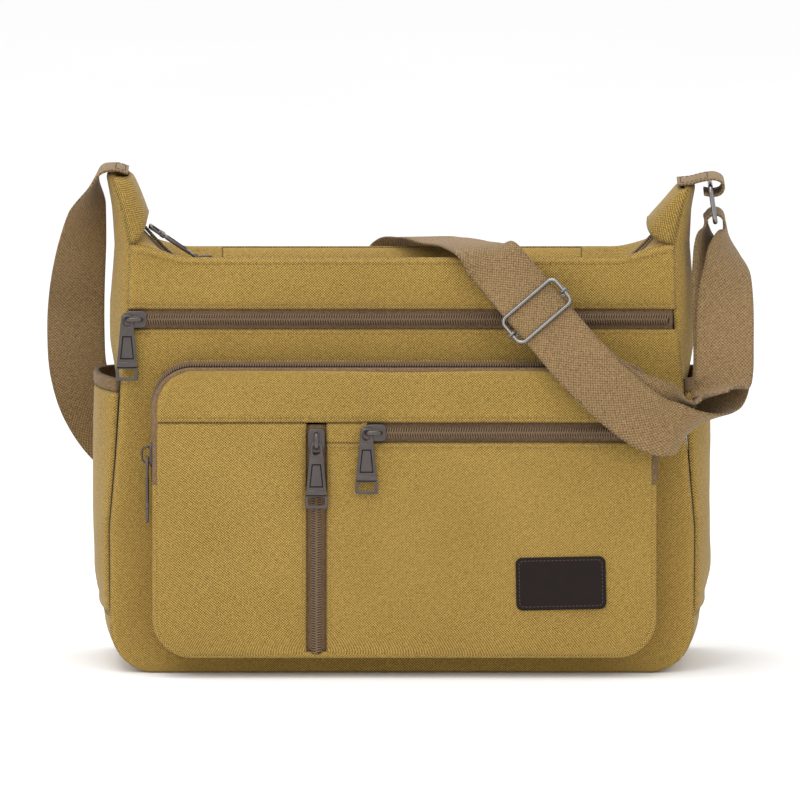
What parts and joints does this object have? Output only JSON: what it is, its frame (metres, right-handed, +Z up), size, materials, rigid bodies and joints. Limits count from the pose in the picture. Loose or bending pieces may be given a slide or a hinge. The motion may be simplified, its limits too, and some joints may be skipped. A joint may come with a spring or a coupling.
{
  "type": "messenger bag",
  "caption": "Khaki canvas messenger bag with a zipped top, a zipped front panel, a raised patch pocket with zips, side slip pockets and a webbing shoulder strap with a slide adjuster.",
  "frame": {"origin": "middle of the flat base, on the surface the bag stands on", "axes": "+X to the right as seen from the front, the strap's ring side; +Z up; -Y out of the front with the patch pocket"},
  "size_m": [0.4401, 0.1609, 0.3104],
  "materials": {
    "canvas": "khaki cotton canvas, plain weave, washed",
    "webbing": "olive-khaki flat cotton webbing",
    "tape": "dark brown zip tape, piping and binding",
    "chain": "brown nylon coil chain",
    "lining": "thin dark lining cloth",
    "leather": "dark brown grained leather, semi-matt",
    "gunmetal": "dark gunmetal zinc casting, satin",
    "nickel": "bright nickel-plated wire"
  },
  "bodies": {
    "bag": {"front_panel_lower": "canvas", "front_panel_upper": "canvas", "back_panel": "canvas", "bottom_panel": "canvas", "side_panel_left": "canvas", "side_panel_right": "canvas", "wing_left": "canvas", "wing_right": "canvas", "mouth_end_left": "canvas", "mouth_end_right": "canvas", "side_pocket_left": "canvas", "side_pocket_right": "canvas", "pocket_wall": "canvas", "pocket_foot_gusset": "canvas", "pocket_yoke": "canvas", "pocket_face_left": "canvas", "pocket_face_right": "canvas", "side_pocket_binding_left": "tape", "side_pocket_binding_right": "tape", "front_zip_tape": "tape", "pocket_zip_tape": "tape", "pocket_piping": "tape", "panel_zip_tape": "tape", "slip_zip_tape": "tape", "mouth_end_chain_left": "chain", "mouth_end_chain_right": "chain", "front_zip_chain": "chain", "pocket_zip_chain": "chain", "panel_zip_chain": "chain", "slip_zip_chain": "chain", "lining": "lining", "front_pocket_pouch": "lining", "slip_zip_pouch": "lining", "panel_zip_pouch": "lining", "leather_patch": "leather", "strap": "webbing", "strap_return": "webbing", "ring_tab": "webbing"},
    "front_slider": {"front_zip_slider": "gunmetal"},
    "front_pull": {"front_zip_pull": "gunmetal"},
    "slip_slider": {"slip_zip_slider": "gunmetal"},
    "slip_pull": {"slip_zip_pull": "gunmetal"},
    "panel_slider": {"panel_zip_slider": "gunmetal"},
    "panel_pull": {"panel_zip_pull": "gunmetal"},
    "pocket_slider": {"pocket_zip_slider": "gunmetal"},
    "pocket_pull": {"pocket_zip_pull": "gunmetal"},
    "mouth_slider": {"mouth_slider": "gunmetal"},
    "mouth_pull": {"mouth_pull": "gunmetal"},
    "lip_front": {"mouth_lip_front": "canvas", "mouth_tape_front": "tape", "mouth_teeth_front": "chain"},
    "lip_back": {"mouth_lip_back": "canvas", "mouth_tape_back": "tape", "mouth_teeth_back": "chain"},
    "ring": {"strap_ring": "nickel"},
    "adjuster": {"adjuster_frame": "nickel"},
    "adjuster_bar": {"adjuster_bar": "nickel", "strap_end_fold": "webbing"}
  },
  "joints": [
    {"name": "front_zip_slide", "type": "slide", "parent": "bag", "child": "front_slider", "axis": [1, 0, 0], "range_m": [0, 0.329]},
    {"name": "front_pull_swing", "type": "hinge", "parent": "front_slider", "child": "front_pull", "pos_m": [-0.17055, -0.03641, 0.22087], "axis": [-1, 0, 0], "range_deg": [0, 25]},
    {"name": "slip_zip_slide", "type": "slide", "parent": "bag", "child": "slip_slider", "axis": [1, 0, 0], "range_m": [0, 0.12]},
    {"name": "slip_pull_swing", "type": "hinge", "parent": "slip_slider", "child": "slip_pull", "pos_m": [-0.02195, -0.06712, 0.1542], "axis": [-1, 0, 0], "range_deg": [0, 25]},
    {"name": "panel_zip_slide", "type": "slide", "parent": "bag", "child": "panel_slider", "axis": [0, -0.1041, -0.9946], "range_m": [0, 0.083]},
    {"name": "panel_pull_swing", "type": "hinge", "parent": "panel_slider", "child": "panel_pull", "pos_m": [-0.053, -0.06806, 0.14515], "axis": [-1, 0, 0], "range_deg": [0, 100]},
    {"name": "pocket_zip_slide", "type": "slide", "parent": "bag", "child": "pocket_slider", "axis": [0, 0.1041, 0.9946], "range_m": [0, 0.027]},
    {"name": "pocket_pull_swing", "type": "hinge", "parent": "pocket_slider", "child": "pocket_pull", "pos_m": [-0.15786, -0.05448, 0.13468], "axis": [0, 0.9946, -0.1041], "range_deg": [0, 100]},
    {"name": "mouth_zip_slide", "type": "slide", "parent": "bag", "child": "mouth_slider", "axis": [1, 0, 0], "range_m": [0, 0.1]},
    {"name": "mouth_pull_swing", "type": "hinge", "parent": "mouth_slider", "child": "mouth_pull", "pos_m": [-0.124, 0, 0.2505], "axis": [0, 1, 0], "range_deg": [0, 96]},
    {"name": "lip_front_fold", "type": "hinge", "parent": "bag", "child": "lip_front", "pos_m": [0, -0.0244, 0.2564], "axis": [-1, 0, 0], "range_deg": [0, 55]},
    {"name": "lip_back_fold", "type": "hinge", "parent": "bag", "child": "lip_back", "pos_m": [0, 0.0244, 0.2564], "axis": [1, 0, 0], "range_deg": [0, 55]},
    {"name": "ring_swing", "type": "hinge", "parent": "bag", "child": "ring", "pos_m": [0.1915, 0, 0.299], "axis": [0, 1, 0], "range_deg": [-5, 5]},
    {"name": "adjuster_slide", "type": "slide", "parent": "bag", "child": "adjuster", "axis": [-0.6158, 0.3984, 0.6798], "range_m": [0, 0.009]},
    {"name": "bar_slide", "type": "slide", "parent": "adjuster", "child": "adjuster_bar", "axis": [0.6158, -0.3984, -0.6798], "range_m": [0, 0.002]}
  ],
  "couplings": [
    {"joint": "lip_back_fold", "follows": "lip_front_fold", "ratio": 1}
  ]
}
